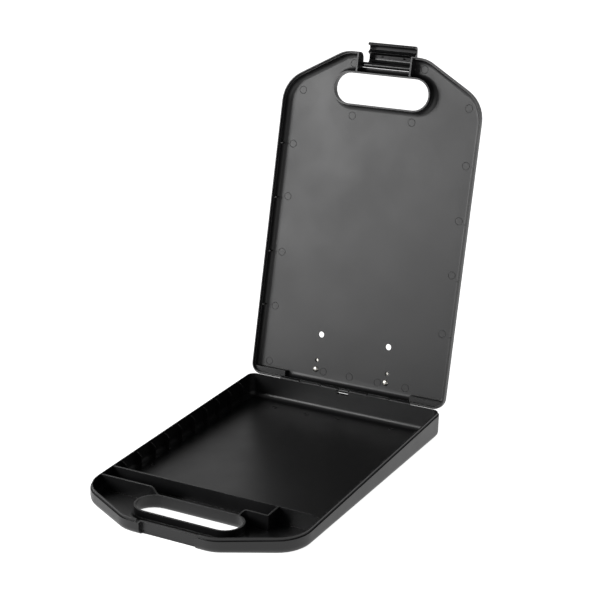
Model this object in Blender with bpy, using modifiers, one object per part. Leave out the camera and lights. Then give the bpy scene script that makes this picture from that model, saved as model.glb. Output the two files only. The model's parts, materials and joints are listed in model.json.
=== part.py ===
"""Storage clipboard: a shallow wedge-shaped tray with a hinged lid, a front latch and a spring clip.

World frame: metres, +X to the right, -Y to the handle end, +Z up. The origin is the centre of the
tray's flat underside. The lid is modelled flat, as when it is shut, in a frame whose origin is the
hinge axis: there -Y runs to the handle end and +Z is the outer face. It is then turned open.
"""

from math import atan, atan2, cos, hypot, pi, radians, sin, tan

import bmesh
import bpy
from mathutils import Matrix, Vector

# Overall size
WIDTH = 0.240
LENGTH = 0.3788
FRONT_HEIGHT = 0.0162
REAR_HEIGHT = 0.0294
LID_DEPTH = 0.0140
OPEN_ANGLE = 103.4

# Plan outline shared by the tray and the lid
FRONT_EDGE_HALF = 0.0482
SHOULDER_DEPTH = 0.0405
REAR_CORNER_RADIUS = 0.012
SHOULDER_RADIUS = 0.038
FRONT_CORNER_RADIUS = 0.034
LID_EDGE_RADIUS = 0.0080
TRAY_EDGE_RADIUS = 0.0068

# Walls and fits
WALL = 0.0024
FLOOR = 0.0022
PANEL = 0.0018
FLOOR_FILLET = 0.006
LID_FILLET = 0.005
GAP = 0.0003
PIN_CLEARANCE = 0.0001
# Small step that keeps neighbouring surfaces out of one plane
STEP = 0.0002
DIVIDER_THICKNESS = 0.0018

# Tongue round the tray's rim, and the lid's lip that closes over it
TONGUE_HEIGHT = 0.0030
TONGUE_INSET = 0.0014
REAR_TONGUE_INSET = 0.0036
REAR_WALL = 0.0048

# Pen trough and pockets in the front of the tray
DIVIDER_FROM_END = 0.0891
DIVIDER_DIP_RADIUS = 0.012
TROUGH_FROM_HANDLE = 0.0093
TROUGH_END_X = 0.0713
TROUGH_BEND_LEFT = -0.060
TROUGH_BEND_RIGHT = 0.050
TROUGH_BEND_LENGTH = 0.016
TROUGH_BEND_RADIUS = 0.006

# Handle opening, the same through the tray and the lid
HANDLE_FROM_END = 0.0407
HANDLE_HALF = 0.0570
HANDLE_HEIGHT = 0.0340
HANDLE_WALL = 0.0019
HANDLE_DROP = 0.00275
HANDLE_EDGE_RADIUS = 0.0070

# Ribs inside the tray's side walls and the lid's side walls
TRAY_RIB_COUNT = 10
TRAY_RIB_FIRST_FROM_FRONT = 0.1039
TRAY_RIB_LAST_FROM_REAR = 0.0346
TRAY_RIB_REACH = 0.0064
TRAY_RIB_TOP_DROP = 0.0018
TRAY_RIB_FALL = 0.0044
RIB_TOP_SHAPE = ((0.25, 0.10), (0.60, 0.40), (1.0, 1.0))
RIB_ROOT = 0.0005
LID_RIB_FIRST = 0.0805
LID_RIB_LAST_FROM_FRONT = 0.1110
LID_RIB_COUNT = 4
LID_RIB_REACH = 0.0024
RIB_THICKNESS = 0.0012

# Hinge
HINGE_SETBACK = 0.0003
HINGE_RISE = 0.0011
KNUCKLE_RADIUS = 0.0026
HINGE_PIN_RADIUS = 0.0010
KNUCKLE_EDGES = (0.0065, 0.0296, 0.0556, 0.0804)
KNUCKLE_SIDE_GAP = 0.0014
CENTRE_NOTCH_BELOW = 0.0006
SKIRT_DEPTH = 0.0085
SKIRT_FALL = 0.0020
SKIRT_GAP_HALF = 0.0780

# Latch, measured with the lid and the latch shut
LATCH_WIDTH = 0.0570
LATCH_BAY_HALF = 0.0310
LATCH_CHEEK = 0.0022
LATCH_BAY_DEPTH = 0.0215
LATCH_PIVOT_FROM_END = 0.0130
LATCH_PIVOT_DEPTH = 0.0110
LATCH_BARREL_RADIUS = 0.0029
LATCH_PIN_RADIUS = 0.0010
LATCH_OPEN_ANGLE = 81.0
LATCH_PROUD = 0.0028
LATCH_THICKNESS = 0.0026
LATCH_HOOK_REACH = 0.0048
LATCH_HOOK_THICKNESS = 0.0030
LATCH_BEND_START = 0.0040
LATCH_BEND_DROP = 0.0060
LATCH_CORNER_RADIUS = 0.0048
LATCH_THROAT_RADIUS = 0.0026
LATCH_EDGE_BREAK = 0.0008
LATCH_RIDGE_ABOVE_HOOK = 0.0078
LATCH_RIDGE_HALF = 0.0030
RECESS_HALF = 0.0305
RECESS_DEPTH = 0.0046
RECESS_UNDERCUT = 0.0050

# Spring clip on the lid's outer face, at the hinge end
CLIP_WIDTH = 0.150
CLIP_PLATE_START = 0.0090
CLIP_PLATE_LENGTH = 0.0360
CLIP_SHEET = 0.0010
JAW_SHEET = 0.0012
JAW_PIVOT_FROM_END = 0.0200
JAW_PIVOT_HEIGHT = 0.0075
JAW_PIN_RADIUS = 0.0015
JAW_REACH = 0.0290
JAW_TAIL = 0.0150
JAW_CROWN_ABOVE_PIN = 0.0060
EAR_X = 0.0520
EAR_LENGTH = 0.0110
RIVET_X = 0.0439
RIVET_FROM_END = 0.0160
RIVET_RADIUS = 0.0016
RIVET_HEAD_RADIUS = 0.0035
RIVET_HEAD_HEIGHT = 0.0012
LOCATING_FROM_END = 0.0265
LOCATING_RADIUS = 0.00210
VENT_X = 0.0420
VENT_FROM_END = 0.0566
VENT_RADIUS = 0.0035
SPRING_RADIUS = 0.0030
SPRING_WIRE_RADIUS = 0.0005
SPRING_TURNS = 4
SPRING_PITCH = 0.0016

# Derived from the sizes above
SLOPE = (REAR_HEIGHT - FRONT_HEIGHT) / LENGTH
TILT = atan(SLOPE)
LID_LENGTH = LENGTH / cos(TILT)
HALF = LENGTH / 2
DIVIDER_Y = -HALF + DIVIDER_FROM_END
TROUGH_FRONT_Y = -HALF + HANDLE_FROM_END + HANDLE_HEIGHT / 2 + TROUGH_FROM_HANDLE
TRAY_RIB_FIRST_Y = -HALF + TRAY_RIB_FIRST_FROM_FRONT
TRAY_RIB_PITCH = (HALF - TRAY_RIB_LAST_FROM_REAR - TRAY_RIB_FIRST_Y) / (TRAY_RIB_COUNT - 1)
LID_RIB_PITCH = (LID_LENGTH - LID_RIB_LAST_FROM_FRONT - LID_RIB_FIRST) / (LID_RIB_COUNT - 1)
HANDLE_Y = HANDLE_FROM_END - HALF
LID_LIP = TONGUE_INSET - GAP
LID_RABBET = TONGUE_HEIGHT + GAP
ABOVE = 0.02

parts = None
cutters = None


# ---------------------------------------------------------------- scene and materials

def clear_scene():
    """Removes every object and makes the two collections."""
    global parts, cutters
    for item in list(bpy.data.objects):
        bpy.data.objects.remove(item)
    parts = bpy.data.collections.new("storage_clipboard")
    cutters = bpy.data.collections.new("cutters")
    bpy.context.scene.collection.children.link(parts)
    bpy.context.scene.collection.children.link(cutters)


def material(name, colour, roughness, metallic=0.0):
    """A Principled material in one colour."""
    made = bpy.data.materials.new(name)
    made.use_nodes = True
    shader = made.node_tree.nodes["Principled BSDF"]
    shader.inputs["Base Color"].default_value = (*colour, 1.0)
    shader.inputs["Roughness"].default_value = roughness
    shader.inputs["Metallic"].default_value = metallic
    return made


def link(name, mesh_builder, group):
    """Turns a bmesh into a named object in a collection."""
    bmesh.ops.recalc_face_normals(mesh_builder, faces=mesh_builder.faces)
    mesh = bpy.data.meshes.new(name)
    mesh_builder.to_mesh(mesh)
    mesh_builder.free()
    made = bpy.data.objects.new(name, mesh)
    group.objects.link(made)
    if group is cutters:
        made.hide_render = True
        made.display_type = "WIRE"
    return made


def boolean(target, operation, other):
    """Adds an exact Boolean modifier."""
    modifier = target.modifiers.new(other.name, "BOOLEAN")
    modifier.operation = operation
    modifier.object = other
    modifier.solver = "EXACT"


def cut(target, *others):
    for other in others:
        boolean(target, "DIFFERENCE", other)


def join(target, *others):
    for other in others:
        boolean(target, "UNION", other)


def finish(made, finish_material, parent=None, smooth_angle=40):
    """Gives a part its material, parent and smooth shading."""
    made.data.materials.append(finish_material)
    made.data.shade_smooth()
    made.data.set_sharp_from_angle(angle=radians(smooth_angle))
    made.parent = parent


def follow(parent, *others):
    """Hangs objects modelled in a parent's frame on that parent."""
    for other in others:
        other.parent = parent


# ---------------------------------------------------------------- outlines

def arc(centre, radius, start, end, steps):
    """Points along an arc, angles in degrees."""
    angles = [radians(start + (end - start) * i / steps) for i in range(steps + 1)]
    return [(centre[0] + radius * cos(a), centre[1] + radius * sin(a)) for a in angles]


def rounded(corners, steps=7):
    """A closed outline from (x, y, radius) corners, each one rounded by its own radius."""
    points = []
    for index, (x, y, radius) in enumerate(corners):
        here = Vector((x, y))
        before = (Vector(corners[index - 1][:2]) - here).normalized()
        after = (Vector(corners[(index + 1) % len(corners)][:2]) - here).normalized()
        if radius <= 0:
            points.append((x, y))
            continue
        half_angle = before.angle(after) / 2
        centre = here + (before + after).normalized() * radius / sin(half_angle)
        first = here + before * radius / tan(half_angle) - centre
        last = here + after * radius / tan(half_angle) - centre
        start = atan2(first.y, first.x)
        sweep = (atan2(last.y, last.x) - start + pi) % (2 * pi) - pi
        for i in range(steps + 1):
            angle = start + sweep * i / steps
            points.append((centre.x + radius * cos(angle), centre.y + radius * sin(angle)))
    return points


def plan(length, inset=0.0, rear_inset=None):
    """The shared outline, centred on X = 0 with its front end at Y = -length / 2."""
    rear = inset if rear_inset is None else rear_inset
    run = WIDTH / 2 - FRONT_EDGE_HALF
    chamfer = hypot(run, SHOULDER_DEPTH)
    # Moving the three outer lines in by the inset shifts where the chamfer meets them.
    side_shift = inset * (chamfer - SHOULDER_DEPTH) / run
    front_shift = inset * (chamfer - run) / SHOULDER_DEPTH
    side = WIDTH / 2 - inset
    front = -length / 2 + inset
    shoulder_y = -length / 2 + SHOULDER_DEPTH + side_shift
    front_x = FRONT_EDGE_HALF - front_shift
    back = length / 2 - rear
    right = [
        (front_x, front, FRONT_CORNER_RADIUS - inset),
        (side, shoulder_y, SHOULDER_RADIUS - inset),
        (side, back, max(REAR_CORNER_RADIUS - max(inset, rear), 0.004)),
    ]
    return rounded(right + [(-x, y, radius) for x, y, radius in reversed(right)])


def stadium(centre_y, half, height, grow=0.0):
    """A slot with round ends, longer along X."""
    radius = height / 2 + grow
    reach = half - height / 2
    right = arc((reach, centre_y), radius, -90, 90, 12)
    left = arc((-reach, centre_y), radius, 90, 270, 12)
    return right + left


# ---------------------------------------------------------------- solids

def slab(name, outline, low, high, low_round=0.0, high_round=0.0, group=None, steps=4):
    """A flat outline given thickness; low and high are heights or functions of Y."""
    builder = bmesh.new()
    face = builder.faces.new([builder.verts.new((x, y, 0)) for x, y in outline])
    raised = bmesh.ops.extrude_face_region(builder, geom=[face])["geom"]
    upper = {item for item in raised if isinstance(item, bmesh.types.BMVert)}
    for vertex in builder.verts:
        height = high if vertex in upper else low
        vertex.co.z = height(vertex.co.y) if callable(height) else height
    rims = {
        True: [e for e in builder.edges if all(v in upper for v in e.verts)],
        False: [e for e in builder.edges if not any(v in upper for v in e.verts)],
    }
    for is_upper, radius in ((False, low_round), (True, high_round)):
        if radius > 0:
            bmesh.ops.bevel(
                builder, geom=rims[is_upper], offset=radius, segments=steps,
                profile=0.5, affect="EDGES", clamp_overlap=False,
            )
    return link(name, builder, group or cutters)


def flared_slot(name, centre_y, stations):
    """A solid of the handle slot's shape whose size changes with height: (grow, z) stations."""
    builder = bmesh.new()
    rings = [
        [builder.verts.new((x, y, z)) for x, y in stadium(centre_y, HANDLE_HALF, HANDLE_HEIGHT, grow)]
        for grow, z in stations
    ]
    for first, second in zip(rings, rings[1:]):
        for i in range(len(first)):
            j = (i + 1) % len(first)
            builder.faces.new((first[i], first[j], second[j], second[i]))
    builder.faces.new(rings[0])
    builder.faces.new(rings[-1])
    return link(name, builder, cutters)


def handle_stations(face, inward, wall, skin):
    """Stations of the handle opening (no wall) or of the tube round it, flaring into a face.

    The opening's edge is rounded at the outer face, and the tube bends with it into the skin.
    """
    radius = HANDLE_EDGE_RADIUS - skin
    centre = face + inward * HANDLE_EDGE_RADIUS
    arc_angles = [i * pi / 2 / 6 for i in range(7)]
    flare = [
        (wall + radius * (1 - cos(a)), centre - inward * radius * sin(a)) for a in arc_angles
    ]
    return flare + [(flare[-1][0], face - inward * ABOVE)]


def box(name, x_range, y_range, z_range, group=None):
    """A plain block between two corners."""
    corners = [(x, y) for x, y in zip((x_range[0], x_range[1], x_range[1], x_range[0]),
                                      (y_range[0], y_range[0], y_range[1], y_range[1]))]
    return slab(name, corners, z_range[0], z_range[1], group=group)


def rod(name, radius, x_range, y, z, segments=24, group=None):
    """A cylinder along X."""
    builder = bmesh.new()
    turn = Matrix.Rotation(pi / 2, 4, "Y")
    place = Matrix.Translation(((x_range[0] + x_range[1]) / 2, y, z)) @ turn
    bmesh.ops.create_cone(
        builder, cap_ends=True, segments=segments, radius1=radius, radius2=radius,
        depth=x_range[1] - x_range[0], matrix=place,
    )
    return link(name, builder, group or cutters)


def post(name, radius, x, y, z_range, segments=24, group=None):
    """A cylinder along Z."""
    builder = bmesh.new()
    place = Matrix.Translation((x, y, (z_range[0] + z_range[1]) / 2))
    bmesh.ops.create_cone(
        builder, cap_ends=True, segments=segments, radius1=radius, radius2=radius,
        depth=z_range[1] - z_range[0], matrix=place,
    )
    return link(name, builder, group or cutters)


def side_profile(name, outline, x_range, group=None):
    """A (Y, Z) outline given width along X."""
    builder = bmesh.new()
    face = builder.faces.new([builder.verts.new((x_range[0], y, z)) for y, z in outline])
    raised = bmesh.ops.extrude_face_region(builder, geom=[face])["geom"]
    shift = Vector((x_range[1] - x_range[0], 0, 0))
    bmesh.ops.translate(
        builder, vec=shift, verts=[v for v in raised if isinstance(v, bmesh.types.BMVert)]
    )
    return link(name, builder, group or cutters)


def ribbon(name, path, thickness, low, high):
    """An upright wall that follows a plan path; high is a function of (x, y)."""
    builder = bmesh.new()
    sections = []
    for index, (x, y) in enumerate(path):
        here = Vector((x, y))
        runs = []
        if index > 0:
            runs.append((here - Vector(path[index - 1])).normalized())
        if index < len(path) - 1:
            runs.append((Vector(path[index + 1]) - here).normalized())
        along = sum(runs, Vector((0, 0))).normalized()
        side = Vector((-along.y, along.x)) * thickness / 2 / along.dot(runs[0])
        top = high(x, y)
        ring = [
            (x + side.x, y + side.y, low), (x - side.x, y - side.y, low),
            (x - side.x, y - side.y, top), (x + side.x, y + side.y, top),
        ]
        sections.append([builder.verts.new(point) for point in ring])
    for first, second in zip(sections, sections[1:]):
        for i in range(4):
            j = (i + 1) % 4
            builder.faces.new((first[i], first[j], second[j], second[i]))
    builder.faces.new(sections[0])
    builder.faces.new(sections[-1])
    return link(name, builder, cutters)


def smooth_step(value):
    value = min(max(value, 0.0), 1.0)
    return value * value * (3 - 2 * value)


# ---------------------------------------------------------------- tray

def rim(y, drop=0.0):
    """Height of the tray's sloping rim above the underside."""
    return FRONT_HEIGHT + (y + HALF) * SLOPE - drop


def trough_walls():
    """The divider and the walls that make the pen trough."""
    reach = WIDTH / 2 - TONGUE_INSET - 0.0005
    inner = WIDTH / 2 - WALL
    centre = DIVIDER_Y - DIVIDER_THICKNESS / 2
    dip = [inner - DIVIDER_DIP_RADIUS + DIVIDER_DIP_RADIUS * i / 6 for i in range(7)]

    def divider_top(x, y):
        lean = min(max((x - (inner - DIVIDER_DIP_RADIUS)) / DIVIDER_DIP_RADIUS, 0.0), 1.0)
        return rim(y) - DIVIDER_DIP_RADIUS * 0.7 * (1 - (1 - lean * lean) ** 0.5)

    divider = ribbon(
        "divider", [(-reach, centre)] + [(x, centre) for x in dip] + [(reach, centre)],
        DIVIDER_THICKNESS, FLOOR / 2, divider_top,
    )

    handle_rear = HANDLE_Y + HANDLE_HEIGHT / 2 + HANDLE_WALL / 2
    left_end = TROUGH_BEND_LEFT + TROUGH_BEND_LENGTH
    bend = [i / 8 for i in range(9)]
    left_path = [(-reach, TROUGH_FRONT_Y)] + [
        (TROUGH_BEND_LEFT + TROUGH_BEND_LENGTH * t,
         TROUGH_FRONT_Y + (handle_rear - TROUGH_FRONT_Y) * smooth_step(t))
        for t in bend
    ]

    def left_top(x, y):
        share = (x - TROUGH_BEND_LEFT) / (left_end - TROUGH_BEND_LEFT)
        return rim(y, HANDLE_DROP * smooth_step(share) + STEP)

    left = ribbon("trough_front_left", left_path, DIVIDER_THICKNESS, FLOOR / 2, left_top)

    right_centre = (TROUGH_BEND_RIGHT, TROUGH_FRONT_Y - TROUGH_BEND_RADIUS)
    turn = arc(right_centre, TROUGH_BEND_RADIUS, 180, 90, 6)
    lowest = turn[0][1]
    right_path = [(turn[0][0], handle_rear)] + turn
    right_path += [(TROUGH_END_X, TROUGH_FRONT_Y), (TROUGH_END_X, centre)]

    def right_top(x, y):
        share = (TROUGH_FRONT_Y - y) / (TROUGH_FRONT_Y - lowest)
        return rim(y, HANDLE_DROP * smooth_step(share) + STEP)

    right = ribbon("trough_front_right", right_path, DIVIDER_THICKNESS, FLOOR / 2, right_top)
    return [divider, left, right]


def tray_ribs():
    """Thin upright ribs with sloping tops, down both inner side walls."""
    made = []
    inner = WIDTH / 2 - WALL
    profile = [(RIB_ROOT, TRAY_RIB_TOP_DROP)] + [
        (-TRAY_RIB_REACH * along, TRAY_RIB_TOP_DROP + TRAY_RIB_FALL * fall)
        for along, fall in RIB_TOP_SHAPE
    ]
    for index in range(TRAY_RIB_COUNT):
        y = TRAY_RIB_FIRST_Y + TRAY_RIB_PITCH * index
        for side, label in ((-1, "left"), (1, "right")):
            builder = bmesh.new()
            points = [(inner + x, rim(y, drop)) for x, drop in profile]
            points += [(inner - TRAY_RIB_REACH, FLOOR / 2), (inner + RIB_ROOT, FLOOR / 2)]
            ring = [builder.verts.new((side * x, y - RIB_THICKNESS / 2, z)) for x, z in points]
            face = builder.faces.new(ring)
            raised = bmesh.ops.extrude_face_region(builder, geom=[face])["geom"]
            moved = [v for v in raised if isinstance(v, bmesh.types.BMVert)]
            bmesh.ops.translate(builder, vec=(0, RIB_THICKNESS, 0), verts=moved)
            made.append(link(f"tray_rib_{label}_{index + 1}", builder, cutters))
    return made


def knuckle_spans(for_tray):
    """X ranges of the hinge knuckles: the tray and the lid take turns from the middle out."""
    centre, inner, middle, outer = KNUCKLE_EDGES
    half_gap = KNUCKLE_SIDE_GAP / 2
    if for_tray:
        right = [(centre + half_gap, inner - half_gap), (middle + half_gap, outer)]
        return right + [(-b, -a) for a, b in right]
    right = [(inner + half_gap, middle - half_gap)]
    return right + [(-b, -a) for a, b in right] + [(-centre + half_gap, centre - half_gap)]


def knuckle_room(name, span, y, z):
    """The clearance that one half's knuckle needs in the other half."""
    side = KNUCKLE_SIDE_GAP / 2 - STEP / 2
    return rod(name, KNUCKLE_RADIUS + GAP, (span[0] - side, span[1] + side), y, z)


def hinge_place():
    """World position of the hinge axis, from the shut lid resting just above the ledge."""
    up = GAP + HINGE_RISE
    y = HALF + HINGE_SETBACK * cos(TILT) - up * sin(TILT)
    z = rim(HALF, TONGUE_HEIGHT) + HINGE_SETBACK * sin(TILT) + up * cos(TILT)
    return y, z


def build_tray(plastic):
    """The lower half: wedge-shaped tray with a rim tongue, trough, pockets and handle opening."""
    tray = slab(
        "base_tray", plan(LENGTH), 0, lambda y: rim(y, TONGUE_HEIGHT),
        low_round=TRAY_EDGE_RADIUS, group=parts,
    )
    tongue = slab(
        "tongue", plan(LENGTH, TONGUE_INSET, REAR_TONGUE_INSET),
        lambda y: rim(y, TONGUE_HEIGHT + 0.002), rim,
    )
    join(tray, tongue)

    cavity = slab(
        "tray_cavity", plan(LENGTH, WALL, REAR_WALL), FLOOR, lambda y: rim(y) + ABOVE,
        low_round=FLOOR_FILLET,
    )
    tube = slab(
        "handle_tube", stadium(HANDLE_Y, HANDLE_HALF, HANDLE_HEIGHT, HANDLE_WALL),
        -ABOVE, lambda y: rim(y, HANDLE_DROP),
    )
    flare = flared_slot("handle_flare", HANDLE_Y, handle_stations(0, 1, HANDLE_WALL + STEP, FLOOR))
    recess_back = HALF - RECESS_DEPTH
    boss_half = RECESS_HALF + WALL
    outside = -HALF - ABOVE
    wall_top = rim(-HALF, TONGUE_HEIGHT) - STEP
    step_top = RECESS_UNDERCUT + FLOOR
    boss = side_profile(
        "recess_wall",
        [(outside, -ABOVE), (outside, wall_top), (-recess_back + WALL, wall_top),
         (-recess_back + WALL, step_top), (-recess_back + 2 * WALL, step_top),
         (-recess_back + 2 * WALL, -ABOVE)],
        (-boss_half, boss_half),
    )
    cut(cavity, tube, flare, boss, *trough_walls(), *tray_ribs())
    cut(tray, cavity)

    opening = flared_slot(
        "handle_opening", HANDLE_Y, [(0, REAR_HEIGHT + ABOVE)] + handle_stations(0, 1, 0, 0)
    )
    recess = side_profile(
        "latch_recess",
        [(outside, -ABOVE), (outside, REAR_HEIGHT), (-recess_back, REAR_HEIGHT),
         (-recess_back, RECESS_UNDERCUT), (-recess_back + WALL, RECESS_UNDERCUT),
         (-recess_back + WALL, -ABOVE)],
        (-RECESS_HALF, RECESS_HALF),
    )
    notch_floor = wall_top + STEP / 2
    notch_back = -HALF + WALL + 2 * GAP
    notch_half = LATCH_BAY_HALF + LATCH_CHEEK + 2 * GAP
    notch = side_profile(
        "tongue_notch",
        [(outside, notch_floor), (outside, REAR_HEIGHT + ABOVE),
         (notch_back, REAR_HEIGHT + ABOVE), (notch_back, notch_floor)],
        (-notch_half, notch_half),
    )
    cut(tray, opening, recess, notch)

    y, z = hinge_place()
    for index, span in enumerate(knuckle_spans(for_tray=False)):
        cut(tray, knuckle_room(f"lid_knuckle_room_{index + 1}", span, y, z))
    notch_side = KNUCKLE_EDGES[0] + KNUCKLE_SIDE_GAP / 2 - STEP
    centre_notch = box(
        "centre_knuckle_notch", (-notch_side, notch_side), (HALF - REAR_WALL - ABOVE, y + KNUCKLE_RADIUS),
        (z - KNUCKLE_RADIUS - CENTRE_NOTCH_BELOW, REAR_HEIGHT + ABOVE),
    )
    cut(tray, centre_notch)
    foot = z - 3 * KNUCKLE_RADIUS
    for index, span in enumerate(knuckle_spans(for_tray=True)):
        outline = arc((y, z), KNUCKLE_RADIUS, -60, 180, 14)
        outline += [(y - KNUCKLE_RADIUS, foot), (HALF - GAP, foot)]
        join(tray, side_profile(f"tray_knuckle_{index + 1}", outline, span))
    reach = KNUCKLE_EDGES[-1] - WALL
    cut(tray, rod("tray_pin_bore", HINGE_PIN_RADIUS + PIN_CLEARANCE, (-reach, reach), y, z))
    finish(tray, plastic)
    return tray


# ---------------------------------------------------------------- lid

def lid_y(from_hinge_end):
    """Y in the lid's frame of a point this far from the lid's hinge end."""
    return -(from_hinge_end + HINGE_SETBACK)


def lid_z(depth):
    """Z in the lid's frame of a point this far behind the lid's rim plane."""
    return depth - HINGE_RISE


def lid_plan(inset=0.0, rear_inset=None):
    """The shared outline moved into the lid's frame."""
    shift = -(LID_LENGTH / 2 + HINGE_SETBACK)
    return [(x, y + shift) for x, y in plan(LID_LENGTH, inset, rear_inset)]


def lid_ribs():
    """Small gussets down the inside of the lid's side walls."""
    made = []
    inner = WIDTH / 2 - WALL
    for index in range(LID_RIB_COUNT):
        y = lid_y(LID_RIB_FIRST + LID_RIB_PITCH * index)
        for side in (-1, 1):
            low = min(side * (inner - LID_RIB_REACH), side * (inner + 0.0003))
            high = max(side * (inner - LID_RIB_REACH), side * (inner + 0.0003))
            made.append(box(
                f"lid_rib_{index + 1}_{'left' if side < 0 else 'right'}", (low, high),
                (y - RIB_THICKNESS / 2, y + RIB_THICKNESS / 2),
                (lid_z(LID_RABBET + 0.0005), lid_z(LID_DEPTH)),
            ))
    return made


def build_lid(plastic, hinge):
    """The upper half: a shallow shell whose flat outer face is the writing surface."""
    lid = slab(
        "lid_shell", lid_plan(), lid_z(0), lid_z(LID_DEPTH), high_round=LID_EDGE_RADIUS,
        group=parts,
    )
    inside = lid_z(LID_DEPTH - PANEL)
    cavity = slab("lid_cavity", lid_plan(WALL), lid_z(-ABOVE), inside, high_round=LID_FILLET)
    rabbet = slab("lid_rabbet", lid_plan(LID_LIP, WALL + STEP), lid_z(-ABOVE - STEP), lid_z(LID_RABBET))
    join(cavity, rabbet)
    tube_y = lid_y(LID_LENGTH - HANDLE_FROM_END / cos(TILT))
    tube = slab(
        "lid_handle_tube", stadium(tube_y, HANDLE_HALF, HANDLE_HEIGHT, HANDLE_WALL),
        lid_z(GAP), lid_z(LID_DEPTH + ABOVE),
    )
    flare = flared_slot(
        "lid_handle_flare", tube_y,
        handle_stations(lid_z(LID_DEPTH), -1, HANDLE_WALL + STEP, PANEL),
    )
    bay_start = LID_LENGTH - LATCH_BAY_DEPTH
    cheeks = [
        box(
            f"latch_cheek_{label}", (low, high), (lid_y(LID_LENGTH + ABOVE), lid_y(bay_start)),
            (lid_z(-2 * ABOVE), lid_z(LID_DEPTH + ABOVE)),
        )
        for label, low, high in (
            ("left", -LATCH_BAY_HALF - LATCH_CHEEK, -LATCH_BAY_HALF),
            ("right", LATCH_BAY_HALF, LATCH_BAY_HALF + LATCH_CHEEK),
        )
    ]
    skirt_face = LID_RABBET + STEP
    skirt_section = [
        (lid_y(SKIRT_DEPTH), lid_z(skirt_face)), (lid_y(-ABOVE), lid_z(skirt_face + SKIRT_FALL)),
        (lid_y(-ABOVE), lid_z(LID_DEPTH + ABOVE)), (lid_y(SKIRT_DEPTH), lid_z(LID_DEPTH + ABOVE)),
    ]
    skirts = [
        side_profile(f"skirt_{label}", skirt_section, (low, high))
        for label, low, high in (
            ("left", -WIDTH, -SKIRT_GAP_HALF), ("right", SKIRT_GAP_HALF, WIDTH)
        )
    ]
    cut(cavity, tube, flare, *cheeks, *skirts, *lid_ribs())
    cut(lid, cavity)

    opening = flared_slot(
        "lid_handle_opening", tube_y,
        [(0, lid_z(-ABOVE))] + handle_stations(lid_z(LID_DEPTH), -1, 0, 0),
    )
    pivot_y = lid_y(LID_LENGTH - LATCH_PIVOT_FROM_END)
    pivot_z = lid_z(LATCH_PIVOT_DEPTH)
    bay = box(
        "latch_bay", (-LATCH_BAY_HALF - STEP, LATCH_BAY_HALF + STEP),
        (lid_y(LID_LENGTH + ABOVE), pivot_y + LATCH_BARREL_RADIUS + GAP),
        (lid_z(-ABOVE), lid_z(LID_DEPTH + ABOVE)),
    )
    pin_reach = LATCH_BAY_HALF + LATCH_CHEEK
    pin_bore = rod(
        "latch_pin_bore", LATCH_PIN_RADIUS + PIN_CLEARANCE, (-pin_reach - GAP, pin_reach + GAP),
        pivot_y, pivot_z,
    )
    cut(lid, pin_bore)
    cut(lid, opening, bay)

    for side, label in ((-1, "left"), (1, "right")):
        through = (lid_z(0), lid_z(LID_DEPTH + ABOVE))
        holes = (
            ("rivet_hole", RIVET_RADIUS + GAP, RIVET_X, RIVET_FROM_END),
            ("locating_hole", LOCATING_RADIUS, RIVET_X, LOCATING_FROM_END),
            ("large_hole", VENT_RADIUS, VENT_X, VENT_FROM_END),
        )
        for name, radius, x, from_end in holes:
            cut(lid, post(f"{name}_{label}", radius, side * x, lid_y(from_end), through))

    for index, span in enumerate(knuckle_spans(for_tray=True)):
        cut(lid, knuckle_room(f"tray_knuckle_room_{index + 1}", span, 0, 0))
    for index, span in enumerate(knuckle_spans(for_tray=False)):
        join(lid, rod(f"lid_knuckle_{index + 1}", KNUCKLE_RADIUS, span, 0, 0))
    reach = KNUCKLE_EDGES[-2] + ABOVE
    cut(lid, rod("lid_pin_bore", HINGE_PIN_RADIUS + PIN_CLEARANCE, (-reach, reach), 0, 0))
    finish(lid, plastic, hinge)
    return lid


# ---------------------------------------------------------------- latch

def latch_outline():
    """The shut latch's section about its pivot, as (Y, Z): over the front, down, and under the tray."""
    front = LATCH_PIVOT_FROM_END + LATCH_PROUD
    shell_depth = LATCH_PIVOT_DEPTH - LID_DEPTH + LATCH_BARREL_RADIUS
    # Distance from the pivot down to the tray's underside at the front.
    drop = LATCH_PIVOT_DEPTH + GAP + FRONT_HEIGHT - TONGUE_HEIGHT
    bottom = -drop + 2 * GAP
    wall_face = LATCH_PIVOT_FROM_END - RECESS_DEPTH
    channel = front - LATCH_THICKNESS
    hook_end = channel - LATCH_HOOK_REACH
    hook_top = bottom + LATCH_HOOK_THICKNESS
    ridge = wall_face + 1.5 * GAP
    ridge_height = hook_top + LATCH_RIDGE_ABOVE_HOOK
    crown = LATCH_BARREL_RADIUS - max(shell_depth, 0)
    bend_start = LATCH_BEND_START
    bend_end = -LATCH_BEND_DROP
    bend = [i * pi / 2 / 8 for i in range(9)]
    outer = [
        (bend_start + (front - bend_start) * sin(a), bend_end + (crown - bend_end) * cos(a))
        for a in bend
    ]
    inner = [
        (bend_start + (channel - bend_start) * cos(a),
         bend_end + (crown - LATCH_THICKNESS - bend_end) * sin(a))
        for a in bend
    ]
    corner = arc(
        (front - LATCH_CORNER_RADIUS, bottom + LATCH_CORNER_RADIUS), LATCH_CORNER_RADIUS, 0, -90, 4
    )
    edge = LATCH_EDGE_BREAK
    hook = [
        (hook_end + edge, bottom), (hook_end, bottom + edge),
        (hook_end, hook_top - edge), (hook_end + edge, hook_top),
    ]
    throat = arc(
        (channel - LATCH_THROAT_RADIUS, hook_top + LATCH_THROAT_RADIUS), LATCH_THROAT_RADIUS, -90, 0, 3
    )
    ridge_points = [
        (channel, ridge_height - LATCH_RIDGE_HALF), (ridge + edge, ridge_height - edge),
        (ridge, ridge_height), (ridge + edge, ridge_height + edge),
        (channel, ridge_height + LATCH_RIDGE_HALF),
    ]
    section = [(0, crown)] + outer + corner + hook + throat + ridge_points + inner
    section.append((0, crown - LATCH_THICKNESS))
    return [(-forward, up) for forward, up in section]


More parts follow.
